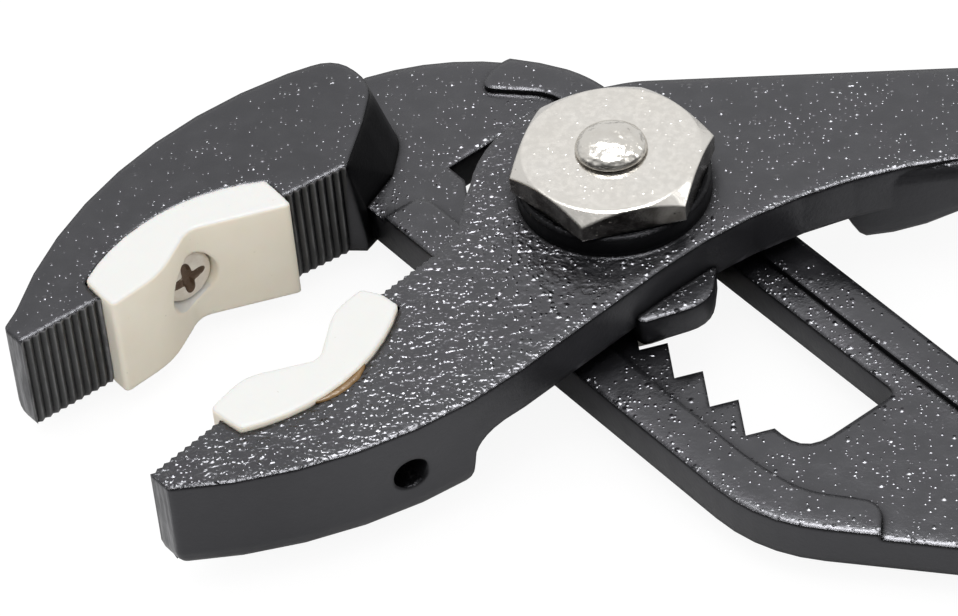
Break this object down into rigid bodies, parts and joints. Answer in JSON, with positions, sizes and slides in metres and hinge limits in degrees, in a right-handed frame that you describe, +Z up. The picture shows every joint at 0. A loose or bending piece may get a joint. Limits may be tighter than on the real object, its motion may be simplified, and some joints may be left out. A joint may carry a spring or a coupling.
{
  "type": "slip-joint pliers",
  "caption": "Adjustable slip-joint pliers: a toothed slot sets the jaw opening, a hexagon nut closes the pivot, and V-notched plastic pads are screwed into both jaws.",
  "frame": {"origin": "on the pivot bolt's axis, in the plane the tool rests on (the back of the bolt head)", "axes": "+Z up along the pivot axis towards the nut, +X from the jaws to the handles, +Y towards the front handle's side"},
  "size_m": [0.2428, 0.0883, 0.0199],
  "materials": {
    "black_paint": "textured satin black",
    "nickel": "bright nickel plate",
    "bolt_steel": "plated, hammered end",
    "pad_plastic": "off-white moulded plastic",
    "screw_steel": "nickel-plated",
    "grip_vinyl": "dipped vinyl, satin"
  },
  "bodies": {
    "rear": {"rear_half": "black_paint", "rear_grip": "grip_vinyl", "upper_jaw_pad": "pad_plastic", "upper_pad_screw": "screw_steel"},
    "pivot": {"pivot_bolt": "bolt_steel", "pivot_nut": "nickel"},
    "front": {"front_half": "black_paint", "front_grip": "grip_vinyl", "lower_jaw_pad": "pad_plastic", "lower_pad_screw": "screw_steel"}
  },
  "joints": [
    {"name": "slot_slide", "type": "slide", "parent": "rear", "child": "pivot", "axis": [0.6871, -0.7266, 0], "range_m": [-0.005, 0.02]},
    {"name": "handle_hinge", "type": "hinge", "parent": "pivot", "child": "front", "pos_m": [0, 0, 0.0108], "axis": [0, 0, 1], "range_deg": [-10, 28]}
  ]
}
